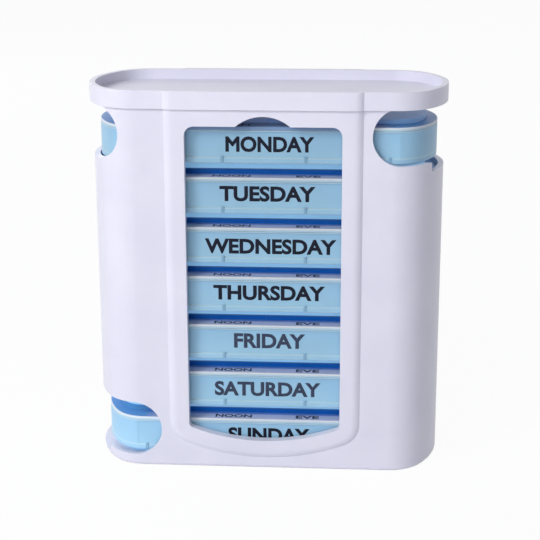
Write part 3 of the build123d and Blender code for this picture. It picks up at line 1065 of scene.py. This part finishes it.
# %% Blue plastic
def blue_plastic(name, stops, roughness, is_lid):
    """Tinted plastic with bands by height, which hold painted highlights, a painted reflection and
    painted shade. A lid reflects less than a tray does.
    """
    material, nodes, links, shader = new_material(name)
    level = height_in_tray(nodes, links)
    colour = banded(nodes, links, level, LEVEL_SPAN, stops)
    if is_lid:
        colour = lid_tints(nodes, links, level, colour)
    else:
        colour = tinted(nodes, links, colour, RIB_BLUE, rib_mask(nodes, links, level))
    links.new(cloud_and_painted_light(nodes, links, colour), shader.inputs["Base Color"])
    links.new(glow_colour(nodes, links, level, is_lid), shader.inputs["Emission Color"])
    shader.inputs["Emission Strength"].default_value = 1.0
    grain = noise(nodes, links, 700, 3)
    gloss = ramp(nodes, links, grain, grey(roughness), grey(roughness + 0.1))
    links.new(gloss, shader.inputs["Roughness"])
    links.new(bump(nodes, links, grain, 0.04, GRAIN_DEPTH), shader.inputs["Normal"])
    shader.inputs["IOR"].default_value = PLASTIC_IOR
    shader.inputs["Transmission Weight"].default_value = 0.12
    shader.inputs["Specular IOR Level"].default_value = 0.15 if is_lid else 0.3
    shader.inputs["Coat Weight"].default_value = 0.0 if is_lid else 0.1
    shader.inputs["Coat Roughness"].default_value = 0.06
    return material


# The tray's bands: painted highlights on the body's lower edge, on the ledge and on the top rim.
tray_blue = blue_plastic("tray_blue", [
    (0, FOOT_BLUE), (2.6, FOOT_BLUE), (2.85, PAINTED_EDGE_HIGHLIGHT), (3.15, BODY_LOW), (4.3, BODY_LOW),
    (4.5, PAINTED_LEDGE_HIGHLIGHT), (4.75, PAINTED_LEDGE_HIGHLIGHT), (4.95, BODY_LOW), (12.75, BODY_HIGH), (12.95, PAINTED_RIM_HIGHLIGHT),
], 0.4, False)
# The lid's bands: a painted highlight on the front face and edge, painted shade on the raised part.
lid_blue = blue_plastic("lid_blue", [
    (12.0, PAINTED_RIM_HIGHLIGHT), (13.7, PAINTED_RIM_HIGHLIGHT), (14.0, PAINTED_EDGE_HIGHLIGHT), (PLATE_TOP, PAINTED_EDGE_HIGHLIGHT),
    (PLATE_TOP + 0.04, PAINTED_PLATEAU_SHADE), (15.7, PAINTED_PLATEAU_SHADE), (16.0, LID_TOP_BLUE),
], 0.3, True)
for piece in trays.values():
    piece.data.materials.append(tray_blue)
for piece in lids.values():
    piece.data.materials.append(lid_blue)
print(len(trays), "trays and", len(lids), "lids in blue")

# %% [markdown]
# ## Printed ink
# The names are a matt dark ink. Two of them and the small lid words look worn, so they are printed
# in a greyer one. A fine speckle stands for the uneven print, and one helper makes both inks.

# %% Printed ink
def printed_ink(name, low, high):
    """A matt ink with a fine speckle between two shades."""
    material, nodes, links, shader = new_material(name)
    speckle = noise(nodes, links, 1500, 3)
    links.new(ramp(nodes, links, speckle, low, high), shader.inputs["Base Color"])
    links.new(ramp(nodes, links, speckle, grey(0.5), grey(0.65)), shader.inputs["Roughness"])
    shader.inputs["Specular IOR Level"].default_value = 0.15
    return material


dark_ink = printed_ink("dark_ink", (0.004, 0.005, 0.012), (0.008, 0.01, 0.025))
worn_ink = printed_ink("worn_ink", (0.03, 0.04, 0.075), (0.05, 0.065, 0.11))
for day, piece in names.items():
    piece.data.materials.append(worn_ink if day in ("friday", "saturday") else dark_ink)
for piece in words.values():
    piece.data.materials.append(worn_ink)
print("ink on", len(names), "names and", len(words), "sets of lid words")

# %% [markdown]
# ## Camera
# The camera stands in front and a little to the right, above the cap, and looks down at it. It could
# be aimed at a target by a constraint, but three turns say exactly how it is held.

# %% Camera
FOCAL_PIXELS = 1421.4
FRAME_PIXELS = 540
SENSOR_WIDTH = 36
CAMERA_PLACE = (32.85 * mm, -453.76 * mm, 190.14 * mm)
CAMERA_YAW = 0.0716
CAMERA_PITCH = 0.2767
CAMERA_ROLL = -0.0032
camera_data = bpy.data.cameras.new("camera")
camera_data.sensor_width = SENSOR_WIDTH
camera_data.lens = FOCAL_PIXELS / FRAME_PIXELS * SENSOR_WIDTH
camera_data.clip_start = 0.01
camera = bpy.data.objects.new("camera", camera_data)
scene.collection.objects.link(camera)
camera.matrix_world = (
    Matrix.Translation(CAMERA_PLACE)
    @ Matrix.Rotation(CAMERA_YAW, 4, "Z")
    @ Matrix.Rotation(pi / 2 - CAMERA_PITCH, 4, "X")
    @ Matrix.Rotation(CAMERA_ROLL, 4, "Z")
)
scene.camera = camera
print(f"lens {camera_data.lens:.1f} mm")

# %% [markdown]
# ## Floor and surroundings
# The floor is plain and pale. A strong lamp could make it white, but it would also wash out the
# object. So a ray from the camera, or one by gloss or glass, sees it nearly white, and all other
# light meets a plain surface, which takes the shadow. The world behind it works the same way.

# %% Which rays see white
def seen_directly(nodes, links):
    """One for rays that come straight from the camera or by gloss or glass, else nothing."""
    rays = nodes.new("ShaderNodeLightPath")
    total = rays.outputs["Is Camera Ray"]
    for other in ("Is Glossy Ray", "Is Transmission Ray"):
        joined = nodes.new("ShaderNodeMath")
        joined.operation = "MAXIMUM"
        links.new(total, joined.inputs[0])
        links.new(rays.outputs[other], joined.inputs[1])
        total = joined.outputs[0]
    return total


print("rays that see white: camera, glossy and transmission")

# %% Floor
FLOOR_HALF = 3
FLOOR_WHITE = 0.95


def make_floor():
    """A wide pale floor that looks nearly white to the camera."""
    bm = bmesh.new()
    bmesh.ops.create_grid(bm, x_segments=1, y_segments=1, size=FLOOR_HALF)
    floor = to_object(bm, "floor")
    material, nodes, links, shader = new_material("pale_floor")
    shader.inputs["Base Color"].default_value = (0.9, 0.9, 0.92, 1)
    shader.inputs["Roughness"].default_value = 0.9
    shader.inputs["Specular IOR Level"].default_value = 0
    glow = nodes.new("ShaderNodeEmission")
    mix = nodes.new("ShaderNodeMixShader")
    share = arithmetic(nodes, links, "MULTIPLY", seen_directly(nodes, links), FLOOR_WHITE)
    links.new(share, mix.inputs["Fac"])
    links.new(shader.outputs[0], mix.inputs[1])
    links.new(glow.outputs[0], mix.inputs[2])
    links.new(mix.outputs[0], nodes["Material Output"].inputs["Surface"])
    floor.data.materials.append(material)


make_floor()
print("floor", 2 * FLOOR_HALF, "m wide")

# %% World
WORLD_TINT = (0.93, 0.94, 1.0, 1)
WORLD_STRENGTH = 0.34


def make_world():
    """A dim cool room for the object, seen as plain white."""
    world = bpy.data.worlds.new("studio")
    scene.world = world
    world.use_nodes = True
    nodes, links = world.node_tree.nodes, world.node_tree.links
    studio = nodes["Background"]
    studio.inputs["Color"].default_value = WORLD_TINT
    studio.inputs["Strength"].default_value = WORLD_STRENGTH
    white = nodes.new("ShaderNodeBackground")
    white.inputs["Color"].default_value = (1, 1, 1, 1)
    mix = nodes.new("ShaderNodeMixShader")
    links.new(seen_directly(nodes, links), mix.inputs["Fac"])
    links.new(studio.outputs[0], mix.inputs[1])
    links.new(white.outputs[0], mix.inputs[2])
    links.new(mix.outputs[0], nodes["World Output"].inputs["Surface"])


make_world()
print("world strength", WORLD_STRENGTH)

# %% [markdown]
# ## Lamps
# A large soft lamp on the left gives the shadow side its gentle fall. A weaker one fills the front,
# and a third lights the back. Small lamps would draw hard shadows into the window, so each is a
# wide rectangle aimed at the middle of the case.

# %% Lamps
LAMP_TARGET = Vector((0, 0, 60 * mm))


def area_lamp(name, place, size, watts, tint=(1, 1, 1)):
    """A rectangular lamp that faces the middle of the case."""
    data = bpy.data.lights.new(name, "AREA")
    data.color = tint
    data.shape = "RECTANGLE"
    data.size, data.size_y = size
    data.energy = watts
    lamp = bpy.data.objects.new(name, data)
    scene.collection.objects.link(lamp)
    lamp.location = place
    lamp.rotation_euler = (LAMP_TARGET - Vector(place)).to_track_quat("-Z", "Y").to_euler()
    print(name, watts, "W")


area_lamp("key", (-0.65, -0.75, 0.70), (0.4, 0.4), 7.2)
area_lamp("front", (-0.3, -1.05, 0.42), (0.5, 0.3), 2.4)
area_lamp("back", (-0.5, 0.9, 0.6), (0.5, 0.5), 2.5, (0.93, 0.95, 1.0))
scene.view_settings.view_transform = "Standard"
